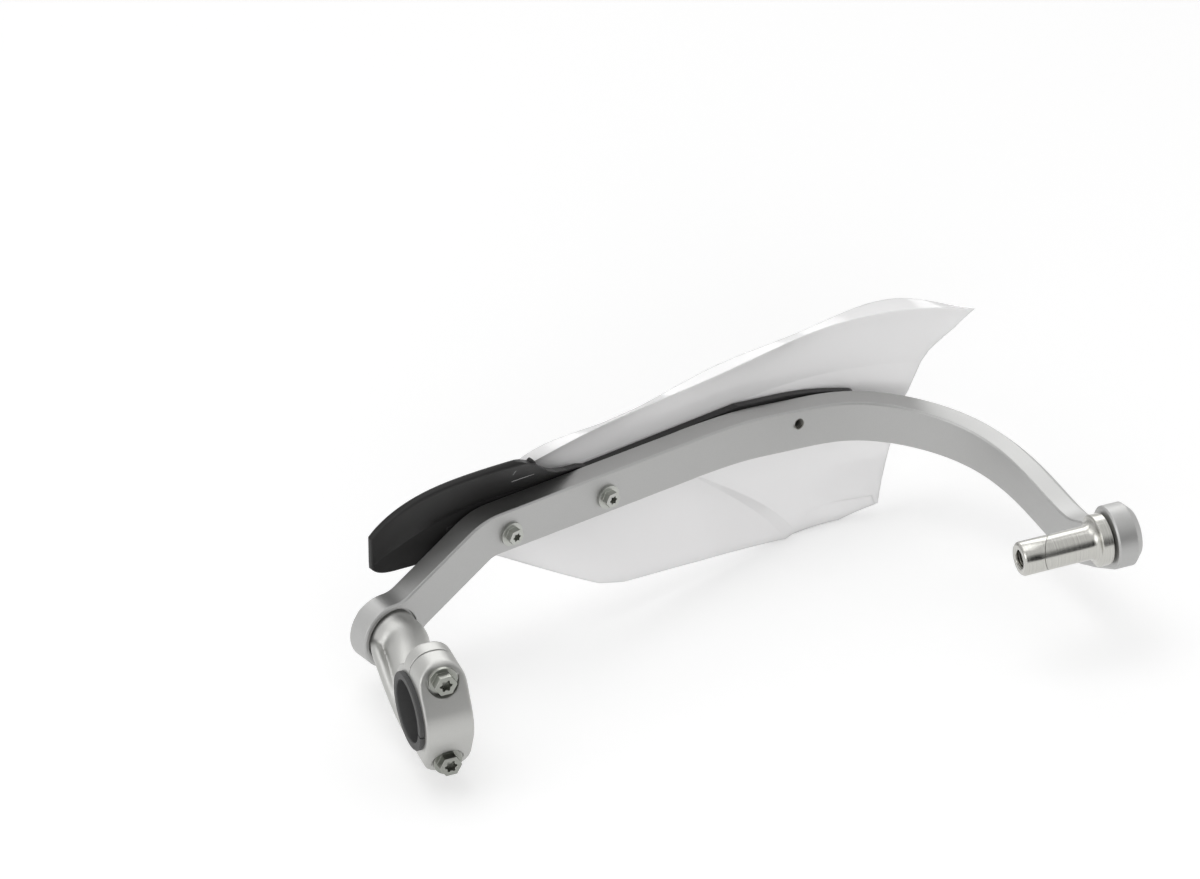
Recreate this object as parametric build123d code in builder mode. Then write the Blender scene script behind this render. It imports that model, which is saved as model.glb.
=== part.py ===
import os
from math import atan2, cos, radians, sin, sqrt
from build123d import *

os.makedirs("parts", exist_ok=True)

# handlebar
handlebar_r = 14.3
touch = 0.02          # seated faces of pieces screwed together
running = 0.06        # turning fits

# guard bar, flat bar on edge
heading = 17.93       # plan angle of the flat plate
plate_back = 67.2     # rear face of the plate ahead of the handlebar axis
bar_h = 21.5
bar_t = 12.0
leg_t = 13.0
edge_break = 0.8
leg_bevel = 3.6
kink_s, kink_z = 83.0, 15.9
straight_slope = -4.8
eye_s, eye_z, eye_r = 26.5, -11.6, 16.0
eye_flare_r = 13.0
plate_end_s = 200.0
bend_start_s, bend_r = 266.0, 72.0
leg_out = 5.99        # the leg's foot outboard of the bend

# directions of the plate: along it outboard, and square to it rearward
along = Vector(cos(radians(heading)), sin(radians(heading)), 0)
rear = Vector(sin(radians(heading)), -cos(radians(heading)), 0)
up = Vector(0, 0, 1)
plate = Plane(origin=rear * -plate_back, x_dir=along, z_dir=rear)
bend_c = along * bend_start_s + rear * (bend_r - plate_back - bar_t / 2)

# bar end boss and plug
boss_r = 15.0
boss_out_x = bend_c.X + bend_r + leg_t / 2 + leg_out
boss_rise = 30.0      # slope of the leg where it meets the boss
recess_r, recess_d = 10.0, 7.0
plug_r = 8.0
plug_tip_x, seam_x = boss_out_x - 56.4, boss_out_x - 41.2
flange_r, flange_x, flange_t = 12.2, boss_out_x - 19.8, 6.0
end_screw_r, end_head_r, end_head_h = 4.0, 8.5, 6.0

# pivot of the clamp arm
pivot_r, seat_r, seat_depth = 5.0, 12.5, 3.5
pivot_head_r, pivot_head_h = 8.5, 5.0
washer_r, washer_t = 10.5, 2.0

# clamp
clamp_w = 22.0
sleeve_r = 15.8
sleeve_lip_r, sleeve_lip = 18.0, 2.2
ring_r, lug_y = 21.0, 13.0
lug_z = ring_r + 8.0
front_lug_y = 7.5
split_gap = 1.2
clamp_screw_z, clamp_screw_r = ring_r + 0.8, 3.0
lug_corner_r = 6.5
clamp_flange_r, clamp_hex, clamp_head = 6.6, 9.0, 5.6

# shield and spoiler
strip_t, shield_t, wing_t = 5.0, 3.0, 3.8
seat_gap = 0.3        # between the strip and the shield
shield_seat = bar_t + strip_t + seat_gap
pad_h = 0.4           # pads of the strip round the screws
screw_s = (95.0, 151.0)
screw_drop = 1.3      # screws below the middle of the bar
screw_clear = 0.3     # round the shanks of screws
screw_lip = 1.5       # thickness of the screws' flanges
pad_r, pad_clear = 7.5, 0.5
shield_screw_r, insert_r = 2.5, 4.0
insert_flange_r, insert_flange_t = 6.5, 1.5
shield_flange_r, shield_hex, shield_head = 5.8, 7.0, 4.8
spare_s, spare_z, spare_r = 266.7, -1.6, 2.6


def middle(s):
    return kink_z + (s - kink_s) * sin(radians(straight_slope)) / cos(radians(straight_slope))


def cross_plane(s):
    return Plane(origin=rear * -plate_back + along * s, x_dir=rear * -1, z_dir=along)


def star(r):
    Circle(r * 0.78)
    with PolarLocations(r * 0.8, 6):
        Circle(r * 0.26)


# guard bar: boss end
rise = Vector(0, -cos(radians(boss_rise)), sin(radians(boss_rise)))
boss_plane = Plane(origin=(boss_out_x, 0, 0), x_dir=rise, z_dir=(-1, 0, 0))
leg_top = bar_h - boss_r
leg_len = 25.0
meet = -sqrt(boss_r**2 - leg_top**2)

with BuildPart() as guard_bar:
    with BuildSketch(boss_plane) as boss_sk:
        with BuildLine():
            Polyline((meet, leg_top), (-leg_len, leg_top), (-leg_len, -boss_r), (0, -boss_r))
            ThreePointArc((0, -boss_r), (boss_r, 0), (meet, leg_top))
        make_face()
        fillet(boss_sk.vertices().sort_by_distance((meet, leg_top))[0], 6)
    extrude(amount=leg_t)
    joint_side = Plane(origin=boss_plane.from_local_coords((-leg_len, 0, 0)), z_dir=rise * -1)
    end_face = guard_bar.faces().sort_by_distance(joint_side.origin)[0]
    outer = guard_bar.faces().sort_by(Axis.X)[-1]
    joint_edges = end_face.edges()
    chamfer([e for e in outer.edges() if not any(e.is_same(j) for j in joint_edges)], leg_bevel)
    inner = guard_bar.faces().sort_by(Axis.X)[0]
    end_face = guard_bar.faces().sort_by_distance(joint_side.origin)[0]
    joint_edges = end_face.edges()
    chamfer([e for e in inner.edges() if not any(e.is_same(j) for j in joint_edges)], edge_break)

    # flat plate with the pivot eye
    with BuildSketch(plate) as plate_sk:
        with BuildLine():
            FilletPolyline(
                (eye_s, eye_z),
                (kink_s, kink_z),
                (plate_end_s, middle(plate_end_s)),
                radius=22,
            )
        trace(line_width=bar_h)
        with Locations((eye_s, eye_z)):
            Circle(eye_r)
        inlets = [
            v
            for v in plate_sk.vertices()
            if abs((v.center() - Vector(eye_s, eye_z)).length - eye_r) < 0.01
        ]
        fillet(inlets, eye_flare_r)
    extrude(amount=-bar_t)
    outline = []
    for e in guard_bar.edges():
        depth = e.center().dot(rear) + plate_back
        on_face = abs(depth) < 0.01 or abs(depth + bar_t) < 0.01
        if on_face and e.center().dot(along) < plate_end_s - 0.5:
            outline.append(e)
    chamfer(outline, edge_break)

    # bend and leg, lofted through sections square to the run
    run_in = along * cos(radians(straight_slope)) + up * sin(radians(straight_slope))
    heights = {0: -5.0, 25: -9.6, 50: -14.6, 75: -19.0, 99: -22.0}
    start = along * plate_end_s + rear * (-plate_back - bar_t / 2) + up * middle(plate_end_s)
    points = [start, along * 232 + rear * (-plate_back - bar_t / 2) + up * (middle(232) - 0.8)]
    for turned, height in heights.items():
        a = radians(heading - turned)
        points.append(bend_c + Vector(-sin(a), cos(a), 0) * bend_r + up * height)
    leg_x = boss_out_x - leg_t / 2
    finish = Vector(leg_x, 0, 0) - rise * leg_len
    finish = finish + Vector(0, -sin(radians(boss_rise)), -cos(radians(boss_rise))) * (boss_r - bar_h / 2)
    points.append(Vector(leg_x - 3.7, 74.0, -24.0))
    points.append(Vector(leg_x - 1.1, 54.0, -26.3))
    points.append(finish)
    with BuildLine(mode=Mode.PRIVATE) as run:
        Spline(*points, tangents=(run_in, rise))
    count = 16
    for step in range(count + 1):
        here = run.line @ (step / count)
        way = run.line % (step / count)
        grown = min(max((step - 5) / 6, 0), 1)
        late = min(max((step - 10) / 6, 0), 1)
        half_t = (bar_t + (leg_t - bar_t) * grown) / 2
        half_h = bar_h / 2
        top_cut = edge_break + (leg_bevel - edge_break) * grown
        low_cut = edge_break + (leg_bevel - edge_break) * late
        with BuildSketch(Plane(origin=here, x_dir=up.cross(way), z_dir=way)):
            with BuildLine():
                Polyline(
                    (half_t, half_h - top_cut),
                    (half_t - top_cut, half_h),
                    (edge_break - half_t, half_h),
                    (-half_t, half_h - edge_break),
                    (-half_t, edge_break - half_h),
                    (edge_break - half_t, -half_h),
                    (half_t - low_cut, -half_h),
                    (half_t, -half_h + low_cut),
                    close=True,
                )
            make_face()
    loft()

    # seat and hole of the pivot, screw holes, spare tapped hole, recess of the boss
    with BuildSketch(plate):
        with Locations((eye_s, eye_z)):
            Circle(seat_r + running)
    extrude(amount=-seat_depth, mode=Mode.SUBTRACT)
    with BuildSketch(plate):
        with Locations((eye_s, eye_z)):
            Circle(seat_r + 1.2)
    extrude(amount=-seat_depth + 1.5, mode=Mode.SUBTRACT)
    with BuildSketch(plate):
        with Locations((eye_s, eye_z)):
            Circle(pivot_r + running)
    extrude(amount=-bar_t, mode=Mode.SUBTRACT)
    with BuildSketch(plate):
        with Locations(*[(s, middle(s) - screw_drop) for s in screw_s]):
            Circle(shield_screw_r + screw_clear)
        with Locations((spare_s, spare_z)):
            Circle(spare_r)
    extrude(amount=-20, both=True, mode=Mode.SUBTRACT)
    with BuildSketch(Plane.YZ.offset(boss_out_x)):
        Circle(recess_r)
    extrude(amount=-recess_d, mode=Mode.SUBTRACT)
    with BuildSketch(Plane.YZ.offset(boss_out_x)):
        Circle(end_screw_r + screw_clear)
    extrude(amount=-20, mode=Mode.SUBTRACT)
guard_bar.part.label = "guard_bar"
export_step(guard_bar.part, "parts/guard_bar.step")

# clamp arm: boss in the eye, swan neck, front half of the clamp
pivot = along * eye_s + rear * -plate_back + up * eye_z
seat = Plane(origin=pivot - rear * seat_depth, x_dir=along, z_dir=rear)
neck_start = 16.0

with BuildPart() as clamp_arm:
    with BuildSketch(Plane.YZ) as front_half:
        with BuildLine():
            CenterArc((0, 0), ring_r, -90, 180)
            Line((0, -ring_r), (0, ring_r))
        make_face()
        with Locations((front_lug_y / 2, (lug_z + 8) / 2), (front_lug_y / 2, -(lug_z + 8) / 2)):
            Rectangle(front_lug_y, lug_z - 8)
        with Locations((-10 + split_gap / 2, 0)):
            Rectangle(20, 80, mode=Mode.SUBTRACT)
        fillet(front_half.vertices().group_by(Axis.Y)[-1].sort_by(Axis.X)[-1], 4)
        fillet(front_half.vertices().group_by(Axis.Y)[0].sort_by(Axis.X)[-1], 4)
        corner = sqrt(ring_r**2 - front_lug_y**2)
        for side in (1, -1):
            fillet(front_half.vertices().sort_by_distance((front_lug_y, side * corner))[0], 5)
    extrude(amount=clamp_w / 2, both=True)
    with BuildSketch(Plane.XZ):
        RectangleRounded(clamp_w, lug_z * 2, lug_corner_r)
    extrude(amount=60, both=True, mode=Mode.INTERSECT)
    with BuildSketch(seat.offset(running)):
        Circle(seat_r)
    extrude(amount=neck_start)
    neck_from = pivot + rear * (neck_start - seat_depth - 4)
    with BuildLine(mode=Mode.PRIVATE) as neck:
        Spline(
            neck_from,
            (9.0, 50.5, -16.6),
            (7.4, 42.0, -23.6),
            (4.4, 31.5, -26.6),
            (0.5, 12.0, -22.0),
            tangents=(rear, (-0.1, -0.95, 0.3)),
        )
    for step in range(7):
        here = neck.line @ (step / 6)
        way = neck.line % (step / 6)
        wide = seat_r - 0.15 - step * 0.28
        tall = seat_r - 0.15 - 0.4 * sin(radians(30 * step))
        with BuildSketch(Plane(origin=here, x_dir=up.cross(way), z_dir=way)):
            Ellipse(wide, tall)
    loft()
    # spot face behind the pivot bolt
    with BuildSketch(seat.offset(27.5)):
        with Locations((5, -5)):
            Circle(12.0)
    extrude(amount=40, mode=Mode.SUBTRACT)
    with BuildSketch(seat.offset(-1)):
        Circle(pivot_r)
    extrude(amount=60, mode=Mode.SUBTRACT)
    with BuildSketch(Plane.YZ):
        Circle(sleeve_r)
    extrude(amount=clamp_w, both=True, mode=Mode.SUBTRACT)
    with BuildSketch(Plane.XZ):
        with Locations((0, clamp_screw_z), (0, -clamp_screw_z)):
            Circle(clamp_screw_r)
    extrude(amount=-30, mode=Mode.SUBTRACT)
clamp_arm.part.label = "clamp_arm"
export_step(clamp_arm.part, "parts/clamp_arm.step")

with BuildPart() as clamp_cap:
    with BuildSketch(Plane.YZ) as rear_half:
        with BuildLine():
            CenterArc((0, 0), ring_r, 90, 180)
            Line((0, -ring_r), (0, ring_r))
        make_face()
        with Locations((-lug_y / 2, 0)):
            Rectangle(lug_y, lug_z * 2)
        with Locations((10 - split_gap / 2, 0)):
            Rectangle(20, 80, mode=Mode.SUBTRACT)
        corner = sqrt(ring_r**2 - lug_y**2)
        for side in (1, -1):
            fillet(rear_half.vertices().sort_by_distance((-lug_y, side * lug_z))[0], 4)
            fillet(rear_half.vertices().sort_by_distance((-lug_y, side * corner))[0], 3)
    extrude(amount=clamp_w / 2, both=True)
    sides = clamp_cap.faces().filter_by(Axis.X)
    fillet(sides.edges().filter_by(lambda e: e.center().Y < -split_gap), 1.5)
    with BuildSketch(Plane.XZ):
        RectangleRounded(clamp_w, lug_z * 2, lug_corner_r)
    extrude(amount=60, both=True, mode=Mode.INTERSECT)
    cap_seat = Plane(origin=(0, -lug_y, 0), x_dir=(1, 0, 0), z_dir=(0, -1, 0))
    with BuildSketch(cap_seat.offset(-0.6)):
        with Locations((0, clamp_screw_z), (0, -clamp_screw_z)):
            Circle(clamp_flange_r + 0.9)
    extrude(amount=20, mode=Mode.SUBTRACT)
    with BuildSketch(cap_seat):
        with Locations((0, clamp_screw_z), (0, -clamp_screw_z)):
            Circle(clamp_screw_r + screw_clear)
    extrude(amount=-20, mode=Mode.SUBTRACT)
    with BuildSketch(Plane.YZ):
        Circle(sleeve_r)
    extrude(amount=clamp_w, both=True, mode=Mode.SUBTRACT)
clamp_cap.part.label = "clamp_cap"
export_step(clamp_cap.part, "parts/clamp_cap.step")

with BuildPart() as clamp_sleeve:
    with BuildSketch(Plane.YZ.offset(-clamp_w / 2)):
        Circle(sleeve_r)
        Circle(handlebar_r, mode=Mode.SUBTRACT)
    extrude(amount=clamp_w)
    with BuildSketch(Plane.YZ.offset(-clamp_w / 2)):
        Circle(sleeve_lip_r)
        Circle(handlebar_r, mode=Mode.SUBTRACT)
    extrude(amount=-sleeve_lip)
    chamfer(clamp_sleeve.edges().filter_by(GeomType.CIRCLE).group_by(Axis.X)[0], 0.4)
    with Locations((0, -sleeve_r, -3)):
        Box(60, 8, 1.0, mode=Mode.SUBTRACT)
clamp_sleeve.part.label = "clamp_sleeve"
export_step(clamp_sleeve.part, "parts/clamp_sleeve.step")


def flanged_screw(plane, flange_r, hex_w, head_h, shank_r, shank_l, star_r):
    with BuildSketch(plane) as flange:
        Circle(flange_r)
    extrude(flange.sketch, amount=screw_lip)
    with BuildSketch(plane.offset(screw_lip)) as hexagon:
        RegularPolygon(hex_w / 2, 6, major_radius=False)
    extrude(hexagon.sketch, amount=head_h - screw_lip)
    with BuildSketch(plane.offset(head_h)) as recess:
        star(star_r)
    extrude(recess.sketch, amount=-3.0, mode=Mode.SUBTRACT)
    with BuildSketch(plane) as shank:
        Circle(shank_r)
    extrude(shank.sketch, amount=-shank_l)


upper_seat = Plane(origin=(0, -lug_y + 0.6, clamp_screw_z), x_dir=(1, 0, 0), z_dir=(0, -1, 0))
lower_seat = Plane(origin=(0, -lug_y + 0.6, -clamp_screw_z), x_dir=(1, 0, 0), z_dir=(0, -1, 0))
with BuildPart() as clamp_screw_upper:
    flanged_screw(upper_seat, clamp_flange_r, clamp_hex, clamp_head, clamp_screw_r, lug_y + 7, 2.8)
clamp_screw_upper.part.label = "clamp_screw_upper"
export_step(clamp_screw_upper.part, "parts/clamp_screw_upper.step")

with BuildPart() as clamp_screw_lower:
    flanged_screw(lower_seat, clamp_flange_r, clamp_hex, clamp_head, clamp_screw_r, lug_y + 7, 2.8)
clamp_screw_lower.part.label = "clamp_screw_lower"
export_step(clamp_screw_lower.part, "parts/clamp_screw_lower.step")

# pivot bolt and washer in front of the eye
eye_front = Plane(origin=pivot - rear * (bar_t + running), x_dir=along, z_dir=rear * -1)
with BuildPart() as pivot_washer:
    with BuildSketch(eye_front):
        Circle(washer_r)
        Circle(pivot_r, mode=Mode.SUBTRACT)
    extrude(amount=washer_t)
    chamfer(pivot_washer.edges().filter_by(GeomType.CIRCLE).group_by(Axis.Y)[-1], 0.4)
pivot_washer.part.label = "pivot_washer"
export_step(pivot_washer.part, "parts/pivot_washer.step")

with BuildPart() as pivot_bolt:
    with BuildSketch(eye_front.offset(washer_t)):
        Circle(pivot_head_r)
    extrude(amount=pivot_head_h)
    chamfer(pivot_bolt.edges().filter_by(GeomType.CIRCLE).sort_by(Axis.Y)[-1], 0.8)
    with BuildSketch(eye_front.offset(washer_t + pivot_head_h)):
        RegularPolygon(4.0, 6, major_radius=False)
    extrude(amount=-3.2, mode=Mode.SUBTRACT)
    with BuildSketch(eye_front.offset(washer_t)):
        Circle(pivot_r)
    extrude(amount=-30)
pivot_bolt.part.label = "pivot_bolt"
export_step(pivot_bolt.part, "parts/pivot_bolt.step")

# bar end plug
boss_in_x = boss_out_x - leg_t
seam = Plane(origin=(seam_x, 0, 0), x_dir=(0, 1, 0), z_dir=(cos(radians(35)), 0, sin(radians(35))))
with BuildPart() as expander_sleeve:
    with BuildSketch(Plane.XZ):
        with BuildLine():
            Polyline(
                (seam_x - 12, end_screw_r + screw_clear),
                (seam_x - 12, plug_r),
                (flange_x - 3.5, plug_r),
            )
            RadiusArc((flange_x - 3.5, plug_r), (flange_x, plug_r + 3), -4)
            Polyline(
                (flange_x, plug_r + 3),
                (flange_x, flange_r),
                (flange_x + flange_t, flange_r),
                (flange_x + flange_t, plug_r + 2),
                (boss_in_x, plug_r + 2),
                (boss_in_x, end_screw_r + screw_clear),
                (seam_x - 12, end_screw_r + screw_clear),
            )
        make_face()
    revolve(axis=Axis.X)
    split(bisect_by=seam.offset(touch), keep=Keep.TOP)
    chamfer(expander_sleeve.edges().filter_by(GeomType.CIRCLE).filter_by(lambda e: e.radius > 12), 0.6)
expander_sleeve.part.label = "expander_sleeve"
export_step(expander_sleeve.part, "parts/expander_sleeve.step")

with BuildPart() as expander_wedge:
    with BuildSketch(Plane.YZ.offset(plug_tip_x)):
        Circle(plug_r)
        Circle(end_screw_r, mode=Mode.SUBTRACT)
    extrude(amount=40)
    split(bisect_by=seam, keep=Keep.BOTTOM)
    chamfer(expander_wedge.edges().filter_by(GeomType.CIRCLE).group_by(Axis.X)[0], 0.9)
expander_wedge.part.label = "expander_wedge"
export_step(expander_wedge.part, "parts/expander_wedge.step")

recess_x = boss_out_x - recess_d
with BuildPart() as bar_end_screw:
    with BuildSketch(Plane.YZ.offset(recess_x)):
        Circle(end_head_r)
    extrude(amount=end_head_h)
    chamfer(bar_end_screw.edges().filter_by(GeomType.CIRCLE).sort_by(Axis.X)[-1], 1.0)
    with BuildSketch(Plane.YZ.offset(recess_x + end_head_h)):
        star(4.4)
    extrude(amount=-4.0, mode=Mode.SUBTRACT)
    with BuildSketch(Plane.YZ.offset(recess_x)):
        Circle(end_screw_r)
    extrude(amount=-(recess_x - plug_tip_x - 6))
bar_end_screw.part.label = "bar_end_screw"
export_step(bar_end_screw.part, "parts/bar_end_screw.step")

# shield: rows along the plate, each with the height of its top, bottom and lip
# s, top, bottom, lean of the top, lean of the bottom, lip width, lip rise
shield_rows = (
    (82, 38.5, -12.0, 11.4, 7.6, 5.0, 0.0),
    (104, 41.0, -20.0, 11.7, 13.0, 5.0, 0.0),
    (139, 43.2, -36.0, 11.6, 28.8, 5.0, 0.0),
    (200, 43.0, -54.0, 12.4, 24.4, 4.8, 0.0),
    (255, 42.0, -68.0, 12.1, 22.6, 5.4, 0.0),
    (290, 41.2, -71.0, 10.4, 22.0, 5.2, 0.2),
    (325, 41.2, -71.0, 11.0, 22.0, 8.4, 2.4),
    (338, 40.6, -71.0, 12.2, 22.0, 8.0, 0.8),
    (357, 38.4, -71.0, 14.4, 22.0, 5.2, -1.4),
)
band = 10.0           # half height of the flat part behind the bar
lip_t = 2.2


def shield_depth(s):
    return shield_seat - 0.0036 * max(0, s - 262) ** 2


def flare(d, z, d_end, z_end, sag):
    mid_d = (d + d_end) / 2 + sag * abs(z_end - z) / 40
    return ThreePointArc((d, z), (mid_d, (z + z_end) / 2), (d_end, z_end))


lower_edge = (
    (309, -62.0),
    (287, -64.0),
    (255, -61.0),
    (200, -48.0),
    (152, -35.5),
    (138, -30.5),
    (102, -10.0),
    (80, 3.0),
)


def cut_below_edge(inset):
    edge = [(s, z + inset) for s, z in lower_edge]
    with BuildSketch(plate.offset(60)) as below:
        with BuildLine():
            Polyline(*edge, (70, -90), (330, -90), close=True)
        make_face()
    extrude(below.sketch, amount=-160, mode=Mode.SUBTRACT)


# panel of the lower half that stands proud to the rear, up to a slanted step
panel_proud = (0.4, 1.0, 2.2, 2.6, 2.6, 2.4, 2.4, 2.4, 2.4)
panel_inset = 0.5
with BuildPart() as lower_panel:
    for row, proud in zip(shield_rows, panel_proud):
        s, low, lean = row[0], row[2], row[4]
        d = shield_depth(s)
        z = middle(s) - band
        with BuildSketch(cross_plane(s)):
            with BuildLine():
                flare(d + 0.1, z, d - lean - proud, low, 2.0)
                Line((d - lean - proud, low), (d - lean + 1.2, low))
                flare(d + 1.2, z, d - lean + 1.2, low, 2.0)
                Line((d + 0.1, z), (d + 1.2, z))
            make_face()
    loft()
    step_top = cross_plane(228).from_local_coords((shield_depth(228) - 5.7, -25.4))
    step_low = cross_plane(252.5).from_local_coords((shield_depth(252.5) - 18.9, -57.0))
    step_far = cross_plane(256.5).from_local_coords((shield_depth(256.5) - 13.6, -51.2))
    wall = (step_low - step_top).cross(step_far - step_top)
    if wall.dot(along) < 0:
        wall = wall * -1
    split(bisect_by=Plane(origin=step_top, z_dir=wall), keep=Keep.BOTTOM)
    cut_below_edge(panel_inset)
    with BuildSketch(plate.offset(60)):
        with Locations((75, -20)):
            Rectangle(40, 100)
    extrude(amount=-160, mode=Mode.SUBTRACT)

# narrow facet along the outer half of the lower edge
with BuildPart() as edge_facet:
    for s, crease in ((257.5, -51.0), (279, -55.2), (307, -58.6)):
        d = shield_depth(s)
        z = middle(s) - band
        lean = 22.2
        fall = (z - crease) / (z + 71)
        crease_d = d - lean * fall + 0.2 * (z + 71) * fall * (1 - fall)
        slope = lean / (z + 71) - 0.2 * (1 - 2 * fall) + 0.2
        with BuildSketch(cross_plane(s)):
            Polygon(
                (crease_d + 0.2, crease + 0.5),
                (crease_d - slope * 12, crease - 12),
                (crease_d - slope * 12 + 3, crease - 12),
                (crease_d + 1.6, crease + 0.5),
                align=None,
            )
    loft()
    cut_below_edge(panel_inset)

with BuildPart() as shield:
    for s, top, low, lean_up, lean_down, lip, rise in shield_rows:
        d = shield_depth(s)
        z = middle(s)
        tilt_up = atan2(lean_up, top - z - band)
        tilt_down = atan2(lean_down, z - band - low)
        drop = (lip_t + shield_t * sin(tilt_up)) / cos(tilt_up)
        with BuildSketch(cross_plane(s)):
            with BuildLine():
                flare(d, z - band, d - lean_down, low, 2.0)
                Line((d, z - band), (d, z + band))
                flare(d, z + band, d - lean_up, top, 1.5)
                under_d = d - lean_up + shield_t * cos(tilt_up) + drop * sin(tilt_up)
                low_d = d - lean_down + shield_t * cos(tilt_down)
                low_z = low - shield_t * sin(tilt_down)
                Line((d - lean_up, top), (d - lean_up + lip, top + rise))
                Line((d - lean_up + lip, top + rise), (d - lean_up + lip, top + rise - lip_t))
                Line((d - lean_up + lip, top + rise - lip_t), (under_d, top - lip_t))
                flare(d + shield_t, z + band, under_d, top - lip_t, 1.5)
                Line((d + shield_t, z + band), (d + shield_t, z - band))
                flare(d + shield_t, z - band, low_d, low_z, 2.0)
                Line((low_d, low_z), (d - lean_down, low))
            make_face()
    loft()
    with BuildSketch(plate.offset(60)):
        with BuildLine():
            Polyline((354.5, 80), (354.5, 41), (349.5, 25), (342, 11), (334, -11), (322.5, -36), lower_edge[0])
            Polyline(*lower_edge, (80, -90), (400, -90), (400, 80), (354.5, 80))
        make_face()
        with BuildLine():
            Polyline((110, 80), (110, 44), (100, 22), (93, 0), (93, -40), (60, -40), (60, 80), close=True)
        make_face()
    extrude(amount=-160, mode=Mode.SUBTRACT)
    add(lower_panel.part)
    add(edge_facet.part)
    # flat seats for the pads of the strip and for the inserts
    with BuildSketch(plate.offset(-shield_seat)):
        with Locations(*[(s, middle(s) - screw_drop) for s in screw_s]):
            Circle(pad_r + pad_clear)
    extrude(amount=4, mode=Mode.SUBTRACT)
    with BuildSketch(plate.offset(-shield_seat - shield_t)):
        with Locations(*[(s, middle(s) - screw_drop) for s in screw_s]):
            Circle(insert_flange_r + pad_clear)
    extrude(amount=-4, mode=Mode.SUBTRACT)
    with BuildSketch(plate):
        with Locations(*[(s, middle(s) - screw_drop) for s in screw_s]):
            Circle(insert_r)
    extrude(amount=-60, mode=Mode.SUBTRACT)
shield.part.label = "shield"
export_step(shield.part, "parts/shield.step")

# spoiler: strip along the front of the bar and the wing at its inner end
strip_end_turn, strip_tip_r = 28.5, 3.0
wing_rows = (
    (31.5, 11.5, 14.0, 28.5, 22.0, 21.5),
    (37, 8.0, 16.0, 35.5, 21.5, 18.5),
    (48, 6.5, 20.0, 44.5, 20.0, 12.5),
    (72, 4.0, 26.0, 51.0, 16.5, 4.5),
    (97, 5.0, 26.3, 54.5, 14.3, -5.4),
    (122, 5.0, 23.2, 54.0, 14.15, -13.0),
    (150, 3.5, 21.0, 54.0, 14.15, -13.0),
)

rim_r = 1.2           # rounding of the wing's inner end and top
with BuildPart() as wing:
    for s, low, knee, top, d_low, d_top in wing_rows:
        with BuildSketch(cross_plane(s)):
            with BuildLine():
                t = wing_t / 2
                tilt = atan2(d_low - d_top, top - knee)
                Polyline(
                    (d_low - t, low),
                    (d_low - t, knee),
                    (d_top - t * cos(tilt), top - t * sin(tilt)),
                    (d_top + t * cos(tilt), top + t * sin(tilt)),
                    (d_low + t, knee),
                    (d_low + t, low),
                    close=True,
                )
            make_face()
    loft()
    rim = wing.edges().filter_by(lambda e: e.center().dot(along) < wing_rows[1][0])
    ridge = wing.edges().filter_by(lambda e: e.length > wing_rows[-1][0] - wing_rows[0][0] + 5)
    fillet(rim + ridge, rim_r)

with BuildPart() as spoiler:
    face_gap = plate_back + bar_t + pad_h
    thick = strip_t - pad_h * 3
    bend_at = along * bend_start_s + rear * -face_gap
    front_c = along * bend_start_s + rear * (bend_r + leg_t / 2 + 0.4 - face_gap)
    r_in = bend_r + leg_t / 2 + 0.4
    turn = radians(heading - strip_end_turn)
    halfway = radians(heading - strip_end_turn / 2)
    with BuildSketch(Plane.XY.offset(-40)):
        with BuildLine():
            a0 = along * 70 + rear * -face_gap
            a1 = along * 70 + rear * -(face_gap + thick)
            b1 = along * bend_start_s + rear * -(face_gap + thick)
            mid_in = front_c + Vector(-sin(halfway), cos(halfway), 0) * r_in
            end_in = front_c + Vector(-sin(turn), cos(turn), 0) * r_in
            mid_out = front_c + Vector(-sin(halfway), cos(halfway), 0) * (r_in + thick)
            end_out = front_c + Vector(-sin(turn), cos(turn), 0) * (r_in + thick)
            Line(a0, bend_at)
            ThreePointArc(bend_at, mid_in, end_in)
            Line(end_in, end_out)
            ThreePointArc(end_out, mid_out, b1)
            Line(b1, a1)
            Line(a1, a0)
        make_face()
    extrude(amount=120)
    with BuildSketch(plate.offset(60)):
        with BuildLine():
            Polyline(
                (70, 20),
                (110, 22.2),
                (150, 19.5),
                (240, 13.5),
                (275, 5.5),
                (330, -6.5),
                (330, -14),
                (275, -6),
                (240, -2),
                (110, 5),
                (70, 4),
                close=True,
            )
        make_face()
    extrude(amount=-160, mode=Mode.INTERSECT)
    across = spoiler.edges().filter_by(lambda e: e.length < thick + 0.5)
    fillet(across.sort_by_distance((end_in + end_out) * 0.5)[:2], strip_tip_r)
    add(wing.part)
    with BuildSketch(plate.offset(60)):
        with BuildLine():
            Polyline((90, 80), (91, 56), (99, 54), (106, 50), (110, 46), (118, 37.5), (126, 31), (136, 25), (150, 19.5))
            Polyline((150, 19.5), (200, 19.5), (200, 80), (90, 80))
        make_face()
    extrude(amount=-160, mode=Mode.SUBTRACT)
    with BuildSketch(plate.offset(-bar_t - touch)):
        with Locations(*[(s, middle(s) - screw_drop) for s in screw_s]):
            Circle(pad_r)
    extrude(amount=-(shield_seat - bar_t - touch * 2))
    with BuildSketch(plate):
        with Locations(*[(s, middle(s) - screw_drop) for s in screw_s]):
            Circle(insert_r)
    extrude(amount=-60, mode=Mode.SUBTRACT)
spoiler.part.label = "spoiler"
export_step(spoiler.part, "parts/spoiler.step")

shield_front = shield_seat + shield_t + touch


def shield_screw(s):
    at = plate.from_local_coords((s, middle(s) - screw_drop, 0))
    seat_plane = Plane(origin=at, x_dir=along, z_dir=rear)
    flanged_screw(seat_plane, shield_flange_r, shield_hex, shield_head, shield_screw_r, shield_front + 1, 2.0)


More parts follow.
